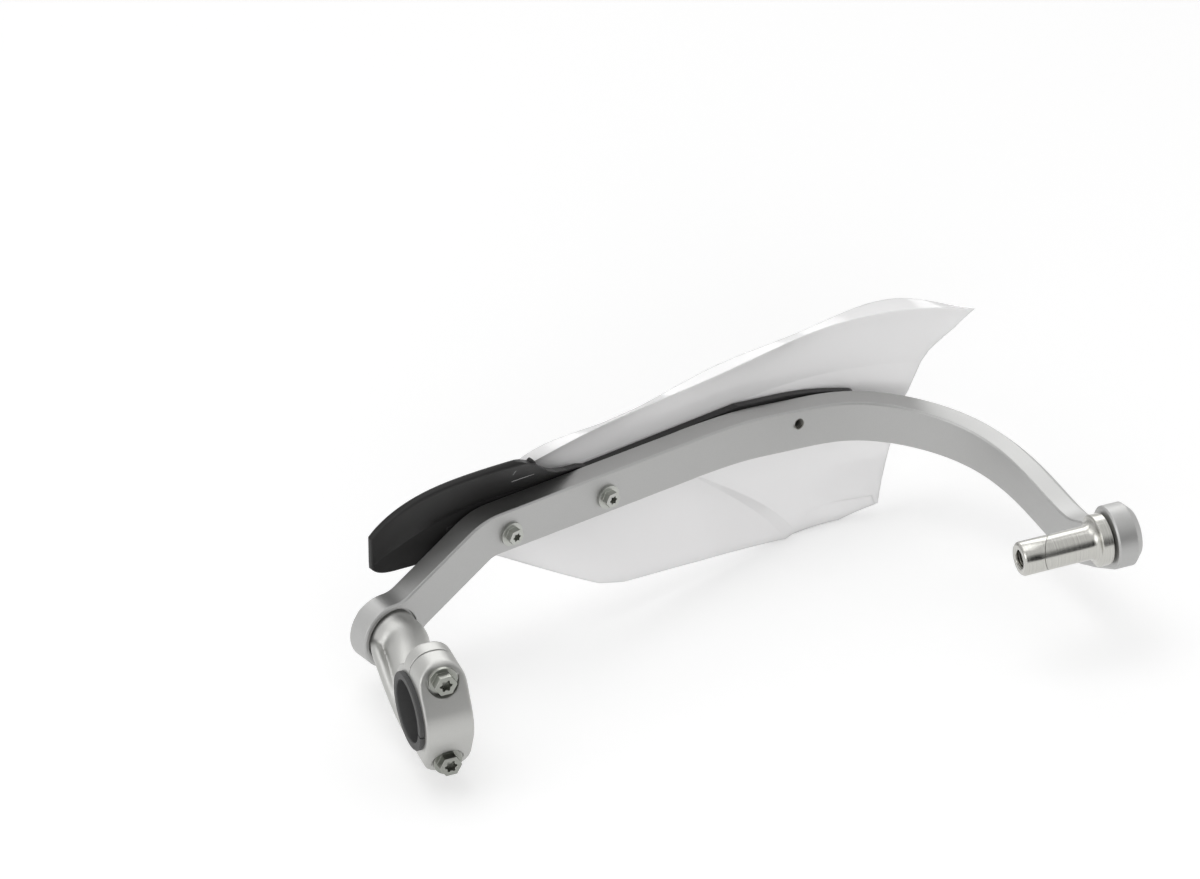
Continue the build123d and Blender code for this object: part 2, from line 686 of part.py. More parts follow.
def threaded_insert(s):
    at = plate.from_local_coords((s, middle(s) - screw_drop, 0))
    face = Plane(origin=at - rear * shield_front, x_dir=along, z_dir=rear * -1)
    with BuildSketch(face) as flange:
        Circle(insert_flange_r)
    extrude(flange.sketch, amount=insert_flange_t)
    with BuildSketch(face) as barrel:
        Circle(insert_r)
    extrude(barrel.sketch, amount=-(shield_front - bar_t - pad_h))
    with BuildSketch(face.offset(insert_flange_t)) as bore:
        Circle(shield_screw_r)
    extrude(bore.sketch, amount=-20, mode=Mode.SUBTRACT)


with BuildPart() as shield_screw_inner:
    shield_screw(screw_s[0])
shield_screw_inner.part.label = "shield_screw_inner"
export_step(shield_screw_inner.part, "parts/shield_screw_inner.step")

with BuildPart() as shield_screw_outer:
    shield_screw(screw_s[1])
shield_screw_outer.part.label = "shield_screw_outer"
export_step(shield_screw_outer.part, "parts/shield_screw_outer.step")

with BuildPart() as threaded_insert_inner:
    threaded_insert(screw_s[0])
threaded_insert_inner.part.label = "threaded_insert_inner"
export_step(threaded_insert_inner.part, "parts/threaded_insert_inner.step")

with BuildPart() as threaded_insert_outer:
    threaded_insert(screw_s[1])
threaded_insert_outer.part.label = "threaded_insert_outer"
export_step(threaded_insert_outer.part, "parts/threaded_insert_outer.step")
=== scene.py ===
import math
import bmesh
import bpy
from mathutils import Matrix, Vector


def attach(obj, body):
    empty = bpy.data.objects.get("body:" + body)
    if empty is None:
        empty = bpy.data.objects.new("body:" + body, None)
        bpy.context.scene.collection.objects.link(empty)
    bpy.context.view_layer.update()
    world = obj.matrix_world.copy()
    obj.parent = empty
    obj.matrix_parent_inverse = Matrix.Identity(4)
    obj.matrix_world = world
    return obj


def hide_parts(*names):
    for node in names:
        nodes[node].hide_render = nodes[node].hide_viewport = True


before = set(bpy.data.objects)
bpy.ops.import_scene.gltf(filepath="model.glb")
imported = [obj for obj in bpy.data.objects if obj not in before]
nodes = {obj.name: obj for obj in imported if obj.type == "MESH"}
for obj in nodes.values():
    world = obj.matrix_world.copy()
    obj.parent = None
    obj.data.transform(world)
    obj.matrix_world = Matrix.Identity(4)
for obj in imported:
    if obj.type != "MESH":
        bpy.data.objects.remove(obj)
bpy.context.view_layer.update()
scene = bpy.context.scene
scene.view_settings.view_transform = "Standard"
print("frame loaded:", len(nodes), "nodes")


# small helpers for objects and meshes
def addObject(name, data):
    made = bpy.data.objects.new(name, data)
    scene.collection.objects.link(made)
    return made


def meshFrom(shape, name):
    mesh = bpy.data.meshes.new(name)
    shape.to_mesh(mesh)
    shape.free()
    return mesh


def smoothFaces(mesh, sharp):
    for face in mesh.polygons:
        face.use_smooth = True
    mesh.set_sharp_from_angle(angle=sharp)


# camera, placed where the photograph was taken from
cameraSet = {
    "place": (-0.5790, -1.8761, 1.4296),
    "right": (0.9351, -0.3528, -0.0336),
    "forward": (0.2773, 0.7874, -0.5505),
    "focalPixels": 5516.2,
    "imageWidth": 1200.0,
    "sensorWidth": 36.0,
    "farthest": 20.0,
}
cameraData = bpy.data.cameras.new("photoCamera")
cameraData.sensor_width = cameraSet["sensorWidth"]
cameraData.lens = cameraSet["sensorWidth"] * cameraSet["focalPixels"] / cameraSet["imageWidth"]
cameraData.clip_end = cameraSet["farthest"]
camera = addObject("photoCamera", cameraData)
sideways = Vector(cameraSet["right"]).normalized()
backward = -Vector(cameraSet["forward"]).normalized()
upward = backward.cross(sideways).normalized()
turn = Matrix((sideways, upward, backward)).transposed()
camera.matrix_world = Matrix.Translation(cameraSet["place"]) @ turn.to_4x4()
scene.camera = camera
print("camera set")


# small helpers for node trees
vectorSocket = "NodeSocketVector"
valueSocket = "NodeSocketFloat"
mixSockets = {"factor": 0, "a": 6, "b": 7, "result": 2}  # the mix node's own sockets for colours
noiseSpan = (0.25, 0.75)  # where most of a noise texture's values lie


def addNode(tree, kind, place, **values):
    node = tree.nodes.new(kind)
    node.location = place
    for name, value in values.items():
        setattr(node, name, value)
    return node


def setInputs(node, values):
    for label, value in values.items():
        node.inputs[label].default_value = value


# links another node's output to a socket, or sets the socket to a plain value
def feed(tree, socket, value):
    if isinstance(value, bpy.types.NodeSocket):
        tree.links.new(value, socket)
    elif value is not None:
        socket.default_value = value


def mathNode(tree, operation, place, a=None, b=None):
    node = addNode(tree, "ShaderNodeMath", place, operation=operation)
    feed(tree, node.inputs[0], a)
    feed(tree, node.inputs[1], b)
    return node.outputs[0]


def vectorNode(tree, operation, place, a, b=None):
    node = addNode(tree, "ShaderNodeVectorMath", place, operation=operation)
    feed(tree, node.inputs[0], a)
    feed(tree, node.inputs[1], b)
    return node


def mixColour(tree, place, factor, a, b):
    node = addNode(tree, "ShaderNodeMix", place, data_type="RGBA")
    feed(tree, node.inputs[mixSockets["factor"]], factor)
    for side, value in (("a", a), ("b", b)):
        colour = (*value, 1.0) if isinstance(value, tuple) else value
        feed(tree, node.inputs[mixSockets[side]], colour)
    return node.outputs[mixSockets["result"]]


def mapTo(tree, place, value, low, high):
    node = addNode(tree, "ShaderNodeMapRange", place)
    tree.links.new(value, node.inputs["Value"])
    setInputs(node, {"From Min": noiseSpan[0], "From Max": noiseSpan[1], "To Min": low, "To Max": high})
    return node.outputs["Result"]


def newGroup(name, inputs, outputs):
    group = bpy.data.node_groups.new(name, "ShaderNodeTree")
    for label, kind, value in inputs:
        socket = group.interface.new_socket(label, in_out="INPUT", socket_type=kind)
        if value is not None:
            socket.default_value = value
    for label, kind in outputs:
        group.interface.new_socket(label, in_out="OUTPUT", socket_type=kind)
    start = addNode(group, "NodeGroupInput", (-900, 0))
    end = addNode(group, "NodeGroupOutput", (700, 0))
    return group, start, end


def placeGroup(tree, group, place, **values):
    node = addNode(tree, "ShaderNodeGroup", place, node_tree=group)
    setInputs(node, values)
    return node


def emptyTree(owner):
    owner.use_nodes = True
    owner.node_tree.nodes.clear()
    return owner.node_tree


# fine grain of a blasted or moulded surface, and a slow change of tone over it
grainSet = {"fineDetail": 3.0, "fineRough": 0.7, "slowDetail": 4.0, "pitScale": 0.45, "pitDepth": 0.7}
grainGroup, start, end = newGroup(
    "surfaceGrain",
    [("Point", vectorSocket, None), ("Grain", valueSocket, 2600.0), ("Patch", valueSocket, 28.0)],
    [("Height", valueSocket), ("Speck", valueSocket), ("Tone", valueSocket)],
)
fine = addNode(grainGroup, "ShaderNodeTexNoise", (-500, 200))
setInputs(fine, {"Detail": grainSet["fineDetail"], "Roughness": grainSet["fineRough"]})
coarse = addNode(grainGroup, "ShaderNodeTexVoronoi", (-500, -60))
slow = addNode(grainGroup, "ShaderNodeTexNoise", (-500, -320))
setInputs(slow, {"Detail": grainSet["slowDetail"]})
links = grainGroup.links
for node in (fine, coarse, slow):
    links.new(start.outputs["Point"], node.inputs["Vector"])
links.new(start.outputs["Grain"], fine.inputs["Scale"])
pitScale = mathNode(grainGroup, "MULTIPLY", (-700, -60), start.outputs["Grain"], grainSet["pitScale"])
links.new(pitScale, coarse.inputs["Scale"])
links.new(start.outputs["Patch"], slow.inputs["Scale"])
pits = mathNode(grainGroup, "MULTIPLY", (-250, 60), coarse.outputs["Distance"], grainSet["pitDepth"])
links.new(mathNode(grainGroup, "ADD", (-50, 100), fine.outputs["Fac"], pits), end.inputs["Height"])
links.new(fine.outputs["Fac"], end.inputs["Speck"])
links.new(slow.outputs["Fac"], end.inputs["Tone"])


# rounded look of a broken edge, and a mask of where the edges are
edgeSet = {"samples": 6, "faintest": 0.01, "full": 0.22}
edgeGroup, start, end = newGroup(
    "softEdge",
    [("Radius", valueSocket, 0.0006)],
    [("Normal", vectorSocket), ("Edge", valueSocket)],
)
rounding = addNode(edgeGroup, "ShaderNodeBevel", (-500, 100), samples=edgeSet["samples"])
surface = addNode(edgeGroup, "ShaderNodeNewGeometry", (-500, -150))
links = edgeGroup.links
links.new(start.outputs["Radius"], rounding.inputs["Radius"])
compare = vectorNode(
    edgeGroup, "DOT_PRODUCT", (-250, 0), rounding.outputs["Normal"], surface.outputs["Normal"]
)
away = mathNode(edgeGroup, "SUBTRACT", (-50, 0), 1.0, compare.outputs["Value"])
spread = addNode(edgeGroup, "ShaderNodeMapRange", (150, 0))
setInputs(spread, {"From Min": edgeSet["faintest"], "From Max": edgeSet["full"]})
links.new(away, spread.inputs["Value"])
links.new(rounding.outputs["Normal"], end.inputs["Normal"])
links.new(spread.outputs["Result"], end.inputs["Edge"])


# rings that a lathe tool leaves round the handlebar axis
latheSet = {"fullTurn": 6.2832, "streakScale": 0.35, "streakDetail": 5.0}
latheGroup, start, end = newGroup(
    "latheRings",
    [("Point", vectorSocket, None), ("Pitch", valueSocket, 0.00022)],
    [("Height", valueSocket), ("Streak", valueSocket)],
)
parts = addNode(latheGroup, "ShaderNodeSeparateXYZ", (-700, 0))
links = latheGroup.links
links.new(start.outputs["Point"], parts.inputs["Vector"])
squareY = mathNode(latheGroup, "MULTIPLY", (-520, -80), parts.outputs["Y"], parts.outputs["Y"])
squareZ = mathNode(latheGroup, "MULTIPLY", (-520, -240), parts.outputs["Z"], parts.outputs["Z"])
squares = mathNode(latheGroup, "ADD", (-360, -160), squareY, squareZ)
radius = mathNode(latheGroup, "SQRT", (-200, -160), squares)
run = mathNode(latheGroup, "ADD", (-40, 0), parts.outputs["X"], radius)
turns = mathNode(latheGroup, "DIVIDE", (120, 0), run, start.outputs["Pitch"])
angle = mathNode(latheGroup, "MULTIPLY", (200, 160), turns, latheSet["fullTurn"])
wave = mathNode(latheGroup, "SINE", (280, 80), angle)
uneven = addNode(latheGroup, "ShaderNodeTexNoise", (280, -120), noise_dimensions="1D")
setInputs(uneven, {"Scale": latheSet["streakScale"], "Detail": latheSet["streakDetail"]})
links.new(turns, uneven.inputs["W"])
links.new(wave, end.inputs["Height"])
links.new(uneven.outputs["Fac"], end.inputs["Streak"])


# mask of what lies inside a straight hole, for the shade in it
holeGroup, start, end = newGroup(
    "holeShade",
    [
        ("Point", vectorSocket, None),
        ("Centre", vectorSocket, None),
        ("Axis", vectorSocket, None),
        ("Radius", valueSocket, 0.003),
    ],
    [("Inside", valueSocket)],
)
offset = vectorNode(holeGroup, "SUBTRACT", (-600, 0), start.outputs["Point"], start.outputs["Centre"])
across = vectorNode(holeGroup, "CROSS_PRODUCT", (-400, 0), offset.outputs["Vector"], start.outputs["Axis"])
size = vectorNode(holeGroup, "LENGTH", (-200, 0), across.outputs["Vector"])
inside = mathNode(holeGroup, "LESS_THAN", (0, 0), size.outputs["Value"], start.outputs["Radius"])
holeGroup.links.new(inside, end.inputs["Inside"])


# mask of what lies inside a thin straight strip: a slit that shows the lit white shield, painted as a
# bright line, and a painted highlight on a rib
slitAndHighlightGroup, start, end = newGroup(
    "slitAndHighlightMask",
    [
        ("Point", vectorSocket, None),
        ("From", vectorSocket, None),
        ("Run", vectorSocket, None),
        ("Half Width", valueSocket, 0.0003),
    ],
    [("Inside", valueSocket)],
)
stripRun = start.outputs["Run"]
offset = vectorNode(slitAndHighlightGroup, "SUBTRACT", (-700, 100), start.outputs["Point"], start.outputs["From"])
reach = vectorNode(slitAndHighlightGroup, "DOT_PRODUCT", (-500, 200), offset.outputs["Vector"], stripRun)
whole = vectorNode(slitAndHighlightGroup, "DOT_PRODUCT", (-500, -100), stripRun, stripRun)
share = addNode(slitAndHighlightGroup, "ShaderNodeMath", (-250, 100), operation="DIVIDE", use_clamp=True)
slitAndHighlightGroup.links.new(reach.outputs["Value"], share.inputs[0])
slitAndHighlightGroup.links.new(whole.outputs["Value"], share.inputs[1])
nearest = vectorNode(slitAndHighlightGroup, "SCALE", (-50, 100), stripRun)
slitAndHighlightGroup.links.new(share.outputs[0], nearest.inputs["Scale"])
away = vectorNode(slitAndHighlightGroup, "DISTANCE", (130, 100), offset.outputs["Vector"], nearest.outputs["Vector"])
inside = mathNode(slitAndHighlightGroup, "LESS_THAN", (330, 100), away.outputs["Value"], start.outputs["Half Width"])
slitAndHighlightGroup.links.new(inside, end.inputs["Inside"])
print("shader groups made")


def startMaterial(name):
    material = bpy.data.materials.new(name)
    tree = emptyTree(material)
    output = addNode(tree, "ShaderNodeOutputMaterial", (900, 0))
    shader = addNode(tree, "ShaderNodeBsdfPrincipled", (600, 0))
    tree.links.new(shader.outputs["BSDF"], output.inputs["Surface"])
    coords = addNode(tree, "ShaderNodeTexCoord", (-1200, 0))
    return material, tree, shader, coords.outputs["Object"]


def bumpInto(tree, shader, look, height, normal):
    bump = addNode(tree, "ShaderNodeBump", (250, -250))
    setInputs(bump, {"Strength": look["bump"], "Distance": look["bumpDepth"]})
    tree.links.new(height, bump.inputs["Height"])
    tree.links.new(normal, bump.inputs["Normal"])
    tree.links.new(bump.outputs["Normal"], shader.inputs["Normal"])


# grainy finish shared by the metals and plastics: tone patches, specks, rubbed edges with a painted edge
# highlight, painted shade in holes, painted bright lines along thin strips, fine bump
usualLook = {
    "specular": 0.5, "coat": 0.0, "coatRough": 0.1, "glowThrough": 0.0, "glowDepth": 0.001,
    "holes": (), "slitsAndHighlights": (),
}


def grainyFinish(name, ownLook):
    look = {**usualLook, **ownLook}
    material, tree, shader, point = startMaterial(name)
    grain = placeGroup(tree, grainGroup, (-900, 100), Grain=look["grain"], Patch=look["patch"])
    tree.links.new(point, grain.inputs["Point"])
    edge = placeGroup(tree, edgeGroup, (-900, -250), Radius=look["edgeRadius"])
    colour = mixColour(tree, (-500, 250), grain.outputs["Tone"], look["dark"], look["light"])
    speck = mapTo(tree, (-500, 450), grain.outputs["Speck"], 0.0, look["speck"])
    colour = mixColour(tree, (-250, 300), speck, colour, look["speckColour"])
    # edges lightened, partly as wear and partly as a painted edge highlight
    edgeWearAndHighlight = mathNode(tree, "MULTIPLY", (-500, -50), edge.outputs["Edge"], look["edgeWearAndHighlight"])
    colour = mixColour(tree, (0, 300), edgeWearAndHighlight, colour, look["edgeWearAndHighlightColour"])
    # painted shade inside each listed hole
    for centre, axis, radius in look["holes"]:
        shade = placeGroup(tree, holeGroup, (0, 550), Centre=centre, Axis=axis, Radius=radius)
        tree.links.new(point, shade.inputs["Point"])
        colour = mixColour(tree, (200, 350), shade.outputs["Inside"], colour, look["paintedHoleShade"])
    # painted bright lines along thin strips: a slit that shows the lit shield, and painted highlights
    for slot in look["slitsAndHighlights"]:
        shade = placeGroup(tree, slitAndHighlightGroup, (0, 750), From=slot["from"], Run=slot["run"])
        setInputs(shade, {"Half Width": slot["half"]})
        tree.links.new(point, shade.inputs["Point"])
        colour = mixColour(tree, (400, 350), shade.outputs["Inside"], colour, slot["colour"])
    tree.links.new(colour, shader.inputs["Base Color"])
    rough = mapTo(tree, (-250, 0), grain.outputs["Tone"], *look["rough"])
    tree.links.new(rough, shader.inputs["Roughness"])
    bumpInto(tree, shader, look, grain.outputs["Height"], edge.outputs["Normal"])
    setInputs(shader, {
        "Metallic": look["metallic"],
        "Specular IOR Level": look["specular"],
        "Subsurface Weight": look["glowThrough"],
        "Subsurface Radius": (1.0, 1.0, 1.0),
        "Subsurface Scale": look["glowDepth"],
        "Coat Weight": look["coat"],
        "Coat Roughness": look["coatRough"],
    })
    return material


barLook = {
    "dark": (0.42, 0.42, 0.415), "light": (0.51, 0.51, 0.505),
    "speckColour": (0.58, 0.58, 0.57), "speck": 0.35, "edgeWearAndHighlightColour": (0.72, 0.72, 0.71), "edgeWearAndHighlight": 0.6,
    "metallic": 1.0, "rough": (0.46, 0.54),
    "grain": 2400.0, "patch": 24.0, "bump": 0.12, "bumpDepth": 0.0002, "edgeRadius": 0.0006,
    # the spare tapped hole, with painted shade inside it
    "holes": [((0.2312, 0.1517, -0.0016), (0.3079, -0.9514, 0.0), 0.00262)],  # centre, axis, radius
    "paintedHoleShade": (0.10, 0.095, 0.08),
}
clampLook = {
    "dark": (0.46, 0.46, 0.445), "light": (0.55, 0.55, 0.535),
    "speckColour": (0.62, 0.62, 0.60), "speck": 0.35, "edgeWearAndHighlightColour": (0.72, 0.72, 0.70), "edgeWearAndHighlight": 0.5,
    "metallic": 1.0, "rough": (0.44, 0.52),
    "grain": 2200.0, "patch": 30.0, "bump": 0.14, "bumpDepth": 0.0002, "edgeRadius": 0.0010,
}
shieldLook = {
    "dark": (0.845, 0.838, 0.84), "light": (0.87, 0.862, 0.865),
    "speckColour": (0.89, 0.885, 0.885), "speck": 0.2, "edgeWearAndHighlightColour": (0.90, 0.895, 0.895), "edgeWearAndHighlight": 0.6,
    "metallic": 0.0, "rough": (0.12, 0.18), "coat": 0.8, "coatRough": 0.03,
    "glowThrough": 0.8, "glowDepth": 0.006,
    "grain": 900.0, "patch": 9.0, "bump": 0.02, "bumpDepth": 0.0003, "edgeRadius": 0.0010,
}
wingLook = {
    "dark": (0.010, 0.0095, 0.0095), "light": (0.016, 0.0155, 0.0155),
    "speckColour": (0.04, 0.04, 0.04), "speck": 0.3, "edgeWearAndHighlightColour": (0.06, 0.06, 0.062), "edgeWearAndHighlight": 0.6,
    "metallic": 0.0, "rough": (0.34, 0.44), "specular": 0.25,
    "grain": 3200.0, "patch": 20.0, "bump": 0.25, "bumpDepth": 0.0002, "edgeRadius": 0.0008,
    "slitsAndHighlights": [
        # painted bright line where the lit white shield shows through a slit in the wing
        {
            "from": (0.07308, 0.09794, 0.03781), "run": (0.01067, 0.0, 0.00126),
            "half": 0.00028, "colour": (0.62, 0.62, 0.61),
        },
        # painted highlight on a small moulded rib
        {
            "from": (0.07208, 0.09296, 0.04496), "run": (0.00072, -0.00242, 0.00346),
            "half": 0.00018, "colour": (0.30, 0.30, 0.30),
        },
    ],
}
sleeveLook = {
    "dark": (0.042, 0.042, 0.042), "light": (0.060, 0.060, 0.060),
    "speckColour": (0.07, 0.07, 0.07), "speck": 0.3, "edgeWearAndHighlightColour": (0.16, 0.16, 0.16), "edgeWearAndHighlight": 0.8,
    "metallic": 0.0, "rough": (0.48, 0.60), "specular": 0.35,
    "grain": 2600.0, "patch": 40.0, "bump": 0.2, "bumpDepth": 0.0002, "edgeRadius": 0.0004,
}
screwLook = {
    "dark": (0.40, 0.41, 0.385), "light": (0.54, 0.55, 0.52),
    "speckColour": (0.50, 0.50, 0.46), "speck": 0.3, "edgeWearAndHighlightColour": (0.66, 0.66, 0.62), "edgeWearAndHighlight": 0.7,
    "metallic": 1.0, "rough": (0.26, 0.38),
    "grain": 3000.0, "patch": 160.0, "bump": 0.08, "bumpDepth": 0.0002, "edgeRadius": 0.0003,
}
clampScrewLook = dict(screwLook, dark=(0.22, 0.23, 0.21), light=(0.34, 0.35, 0.32))
# darker copy of the metals for the thread ridges inside the holes: painted shade of the holes
shadedThreadLook = {
    "dark": (0.17, 0.165, 0.15), "light": (0.27, 0.265, 0.24),
    "speckColour": (0.42, 0.41, 0.38), "speck": 0.3, "edgeWearAndHighlightColour": (0.55, 0.54, 0.50), "edgeWearAndHighlight": 0.7,
    "metallic": 1.0, "rough": (0.30, 0.42),
    "grain": 3000.0, "patch": 260.0, "bump": 0.06, "bumpDepth": 0.0001, "edgeRadius": 0.0001,
}
materials = {
    "shadedThreadMetal": grainyFinish("shadedThreadMetal", shadedThreadLook),
    "blastedBar": grainyFinish("blastedBar", barLook),
    "blastedClamp": grainyFinish("blastedClamp", clampLook),
    "whiteShield": grainyFinish("whiteShield", shieldLook),
    "blackSpoiler": grainyFinish("blackSpoiler", wingLook),
    "greySleeve": grainyFinish("greySleeve", sleeveLook),
    "zincScrew": grainyFinish("zincScrew", screwLook),
    "greyScrew": grainyFinish("greyScrew", clampScrewLook),
}


# turned steel of the plug: lathe rings, painted shade in the bore and along the fine slit where sleeve and
# wedge meet, and rubbed edges with a painted edge highlight
turnedLook = {
    "dark": (0.44, 0.435, 0.41), "light": (0.64, 0.635, 0.60),
    "edgeWearAndHighlightColour": (0.74, 0.735, 0.71), "edgeWearAndHighlight": 0.6, "metallic": 1.0, "rough": (0.16, 0.26),
    "pitch": 0.00024, "bump": 0.15, "bumpDepth": 0.00004, "edgeRadius": 0.0003,
    # painted shade inside the bore
    "bore": {
        "centre": (0.2814, 0.0, 0.0), "axis": (1.0, 0.0, 0.0), "radius": 0.0043,
        "colour": (0.05, 0.048, 0.04),
    },
    # painted shade along the fine slit between sleeve and wedge
    "seam": {
        "place": (0.296, 0.0, 0.0), "normal": (0.8192, -0.5553, 0.1436), "half": 0.00013,
        "colour": (0.14, 0.135, 0.12),
    },
}


def turnedFinish(name, look):
    material, tree, shader, point = startMaterial(name)
    lathe = placeGroup(tree, latheGroup, (-900, 100), Pitch=look["pitch"])
    tree.links.new(point, lathe.inputs["Point"])
    edge = placeGroup(tree, edgeGroup, (-900, -250), Radius=look["edgeRadius"])
    colour = mixColour(tree, (-400, 250), lathe.outputs["Streak"], look["dark"], look["light"])
    # edges lightened, partly as wear and partly as a painted edge highlight
    edgeWearAndHighlight = mathNode(tree, "MULTIPLY", (-400, -50), edge.outputs["Edge"], look["edgeWearAndHighlight"])
    colour = mixColour(tree, (-100, 250), edgeWearAndHighlight, colour, look["edgeWearAndHighlightColour"])
    # painted shade along the slit between sleeve and wedge
    seam = look["seam"]
    fromSeam = vectorNode(tree, "SUBTRACT", (-700, 500), point, seam["place"])
    across = vectorNode(tree, "DOT_PRODUCT", (-500, 500), fromSeam.outputs["Vector"], seam["normal"])
    gap = mathNode(tree, "ABSOLUTE", (-300, 500), across.outputs["Value"])
    gap = mathNode(tree, "LESS_THAN", (-100, 500), gap, seam["half"])
    colour = mixColour(tree, (150, 350), gap, colour, seam["colour"])
    # painted shade inside the bore
    bore = look["bore"]
    shade = placeGroup(
        tree, holeGroup, (0, 700), Centre=bore["centre"], Axis=bore["axis"], Radius=bore["radius"]
    )
    tree.links.new(point, shade.inputs["Point"])
    colour = mixColour(tree, (350, 350), shade.outputs["Inside"], colour, bore["colour"])
    tree.links.new(colour, shader.inputs["Base Color"])
    rough = mapTo(tree, (-100, 0), lathe.outputs["Streak"], *look["rough"])
    tree.links.new(rough, shader.inputs["Roughness"])
    bumpInto(tree, shader, look, lathe.outputs["Height"], edge.outputs["Normal"])
    setInputs(shader, {"Metallic": look["metallic"]})
    return material


materials["turnedSteel"] = turnedFinish("turnedSteel", turnedLook)

# finish of each node; the fasteners that aren't named are zinc
finishes = {
    "guard_bar": "blastedBar",
    "clamp_arm": "blastedClamp",
    "clamp_cap": "blastedClamp",
    "clamp_sleeve": "greySleeve",
    "shield": "whiteShield",
    "spoiler": "blackSpoiler",
    "clamp_screw_upper": "greyScrew",
    "clamp_screw_lower": "greyScrew",
    "expander_sleeve": "turnedSteel",
    "expander_wedge": "turnedSteel",
}
for name, node in nodes.items():
    finish = materials[finishes.get(name, "zincScrew")]
    for slot in node.material_slots:
        slot.material = finish
print("finishes given to the nodes")


# thread ridges, one turn after another along a tapped hole
threadSet = {"ridgeSides": 3, "stepsPerTurn": 28}
threadTree = bpy.data.node_groups.new("threadRidges", "GeometryNodeTree")
threadSockets = {}
for label, kind in (
    ("Radius", valueSocket),
    ("Pitch", valueSocket),
    ("Length", valueSocket),
    ("Depth", valueSocket),
    ("Finish", "NodeSocketMaterial"),
):
    socket = threadTree.interface.new_socket(label, in_out="INPUT", socket_type=kind)
    threadSockets[label] = socket.identifier
threadTree.interface.new_socket("Geometry", in_out="OUTPUT", socket_type="NodeSocketGeometry")
start = addNode(threadTree, "NodeGroupInput", (-700, 0))
end = addNode(threadTree, "NodeGroupOutput", (700, 0))
turns = mathNode(threadTree, "DIVIDE", (-450, 100), start.outputs["Length"], start.outputs["Pitch"])
helix = addNode(threadTree, "GeometryNodeCurveSpiral", (-200, 100))
setInputs(helix, {"Resolution": threadSet["stepsPerTurn"]})
ridge = addNode(threadTree, "GeometryNodeCurvePrimitiveCircle", (-200, -200))
setInputs(ridge, {"Resolution": threadSet["ridgeSides"]})
solid = addNode(threadTree, "GeometryNodeCurveToMesh", (50, 0))
setInputs(solid, {"Fill Caps": True})
real = addNode(threadTree, "GeometryNodeRealizeInstances", (250, 0))
paint = addNode(threadTree, "GeometryNodeSetMaterial", (450, 0))
links = threadTree.links
links.new(turns, helix.inputs["Rotations"])
links.new(start.outputs["Radius"], helix.inputs["Start Radius"])
links.new(start.outputs["Radius"], helix.inputs["End Radius"])
links.new(start.outputs["Length"], helix.inputs["Height"])
links.new(start.outputs["Depth"], ridge.inputs["Radius"])
links.new(helix.outputs["Curve"], solid.inputs["Curve"])
links.new(ridge.outputs["Curve"], solid.inputs["Profile Curve"])
links.new(solid.outputs["Mesh"], real.inputs["Geometry"])
links.new(real.outputs["Geometry"], paint.inputs["Geometry"])
links.new(start.outputs["Finish"], paint.inputs["Material"])
links.new(paint.outputs["Geometry"], end.inputs["Geometry"])


def cutThread(name, look):
    maker = addObject(name + "Maker", bpy.data.meshes.new(name + "Maker"))
    modifier = maker.modifiers.new("thread", "NODES")
    modifier.node_group = threadTree
    for label in ("Radius", "Pitch", "Length", "Depth"):
        modifier[threadSockets[label]] = look[label]
    modifier[threadSockets["Finish"]] = materials[look["finish"]]
    made = maker.evaluated_get(bpy.context.evaluated_depsgraph_get())
    mesh = bpy.data.meshes.new_from_object(made)
    maker.modifiers.clear()
    bpy.data.objects.remove(maker)
    aim = Vector(look["axis"]).to_track_quat("Z", "Y").to_matrix().to_4x4()
    mesh.transform(Matrix.Translation(look["place"]) @ aim)
    mesh.name = name
    piece = addObject(name, mesh)
    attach(piece, "guard")


threadLook = {
    "spare_hole_thread": {
        "Radius": 0.00262, "Pitch": 0.0009, "Length": 0.0110, "Depth": 0.00038, "finish": "shadedThreadMetal",
        "place": (0.23322, 0.14556, -0.0016), "axis": (-0.307854, 0.951434, 0.0), "slot": "bar_aluminium",
    },
    "plug_bore_thread": {
        "Radius": 0.0040, "Pitch": 0.00125, "Length": 0.0050, "Depth": 0.00055, "finish": "shadedThreadMetal",
        "place": (0.2814, 0.0, 0.0), "axis": (1.0, 0.0, 0.0), "slot": "turned_steel",
    },
}
for name, look in threadLook.items():
    cutThread(name, look)
print("threads made")


# clamp pieces with the soft cast form of the real ones, drawn in millimetres:
# solids are blended, softened, then cut where they are machined
mm = 0.001
barSet = {"heading": 17.93, "pivotAlong": 26.5, "forward": 67.2, "pivotHeight": -11.6}  # heading in degrees
heading = math.radians(barSet["heading"])
alongBar = Vector((math.cos(heading), math.sin(heading), 0))
forwardBar = Vector((-math.sin(heading), math.cos(heading), 0))
straightUp = Vector((0, 0, 1))


# point in millimetres, from how far it lies along the bar, in front of the handlebar and up
def barPoint(along, forward, up):
    return alongBar * along + forwardBar * forward + straightUp * up


pivotSpot = barPoint(barSet["pivotAlong"], barSet["forward"], barSet["pivotHeight"])


def helperObject(name, shape):
    bmesh.ops.recalc_face_normals(shape, faces=shape.faces)
    bmesh.ops.scale(shape, vec=(mm, mm, mm), verts=shape.verts)
    return addObject(name, meshFrom(shape, name))


def hullOf(points):
    shape = bmesh.new()
    for point in points:
        shape.verts.new(point)
    made = bmesh.ops.convex_hull(shape, input=shape.verts)
    spare = [v for v in made["geom_interior"] if isinstance(v, bmesh.types.BMVert)]
    bmesh.ops.delete(shape, geom=spare, context="VERTS")
    return shape


def arcPoints(centre, radius, fromDegrees, toDegrees, steps=24):
    sweep = toDegrees - fromDegrees
    angles = [math.radians(fromDegrees + sweep * i / steps) for i in range(steps + 1)]
    return [(centre[0] + radius * math.cos(a), centre[1] + radius * math.sin(a)) for a in angles]


